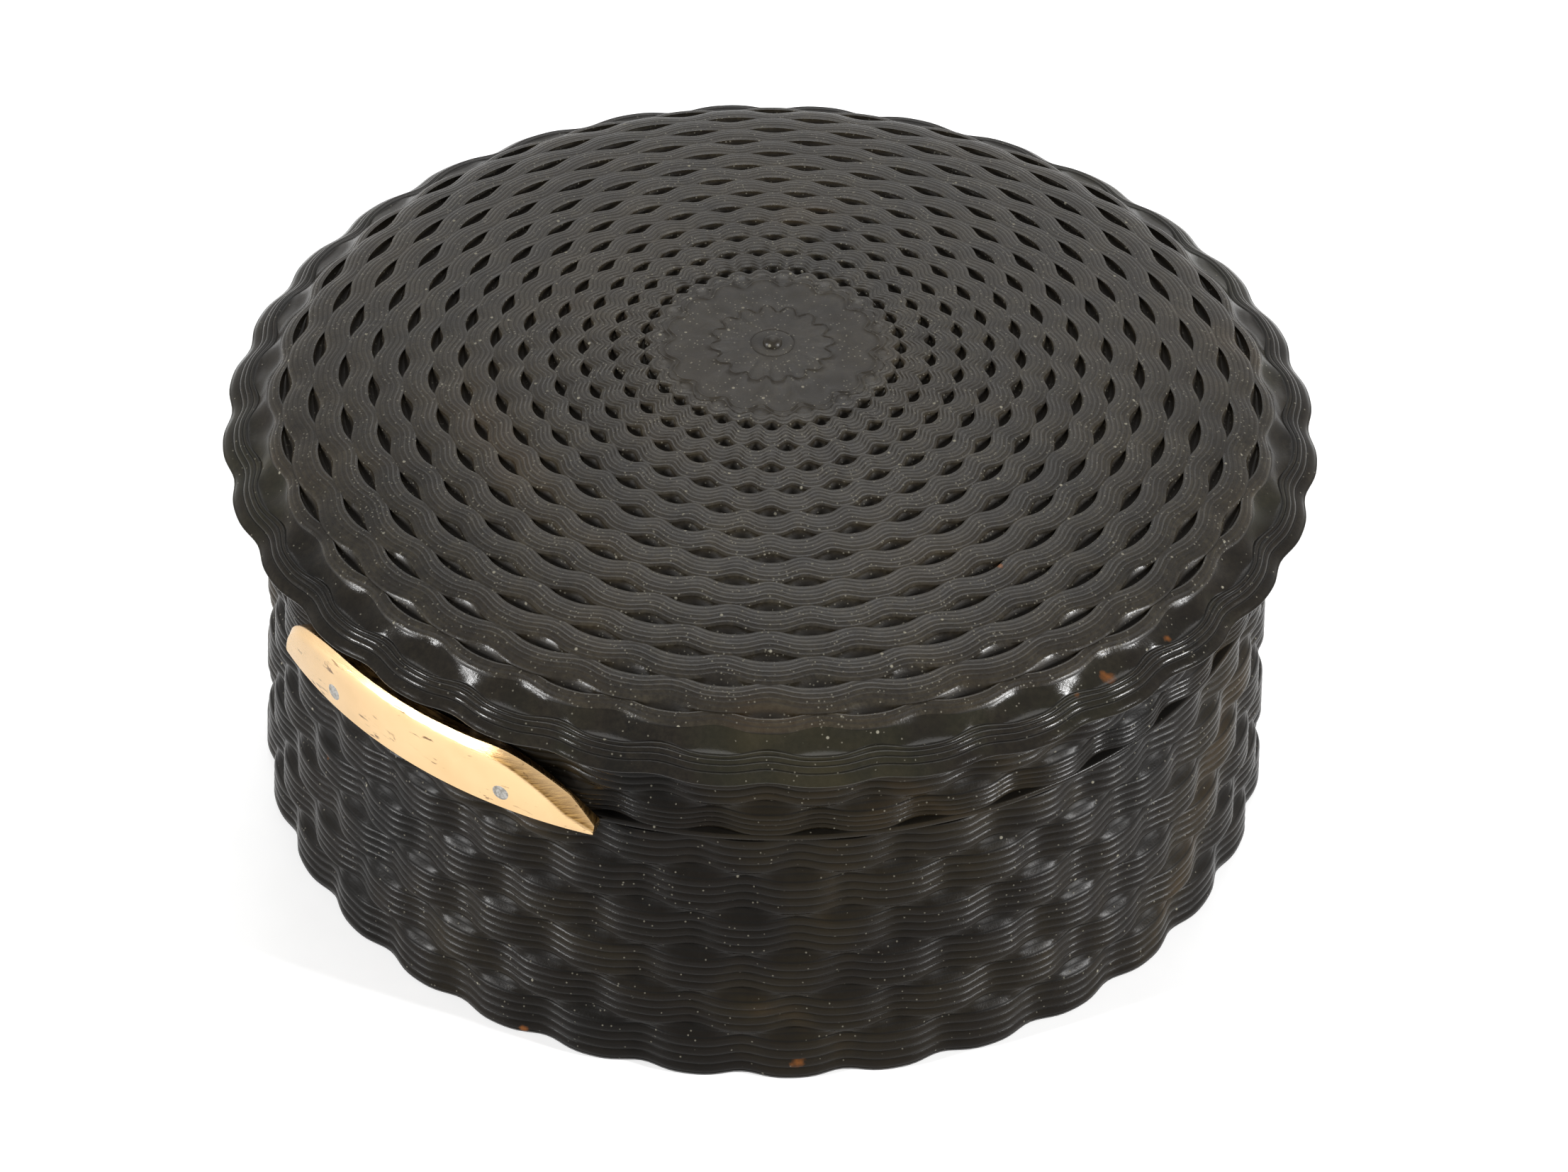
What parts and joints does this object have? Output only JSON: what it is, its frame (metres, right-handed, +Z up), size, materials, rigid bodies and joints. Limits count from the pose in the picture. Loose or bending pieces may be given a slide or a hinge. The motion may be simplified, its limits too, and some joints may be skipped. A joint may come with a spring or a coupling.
{
  "type": "snuff box",
  "caption": "Round dark tortoiseshell snuff box, rose-engine turned in a wavy basket weave, with a domed hinged lid, scalloped rim and gold thumb-piece.",
  "frame": {"origin": "middle of the underside of the base, where the box axis meets the table", "axes": "+Z up along the box axis, the thumb-piece on the -Y side, the hinge on the +Y side, its pin along X"},
  "size_m": [0.081, 0.081, 0.0386],
  "materials": {
    "tortoiseshell": "polished dark tortoiseshell, grey-olive sheen with brown translucent patches, fine turned lines and dust",
    "gold": "polished pale gold with fine scratches",
    "pin_steel": "dull grey pin ends, filed flush"
  },
  "bodies": {
    "box": {"box_wall": "tortoiseshell", "box_base": "tortoiseshell", "box_bezel": "tortoiseshell", "hinge_leaf_box": "gold", "hinge_pin": "pin_steel", "rivet_box_1": "gold", "rivet_box_2": "gold", "rivet_box_3": "gold"},
    "lid": {"lid_cover": "tortoiseshell", "thumb_piece": "gold", "thumb_pin_left": "pin_steel", "thumb_pin_right": "pin_steel", "hinge_leaf_lid": "gold", "rivet_lid_1": "gold", "rivet_lid_2": "gold", "rivet_lid_3": "gold"}
  },
  "joints": [
    {"name": "lid_hinge", "type": "hinge", "parent": "box", "child": "lid", "pos_m": [0, 0.0365, 0.0228], "axis": [-1, 0, 0], "range_deg": [0, 100]}
  ]
}
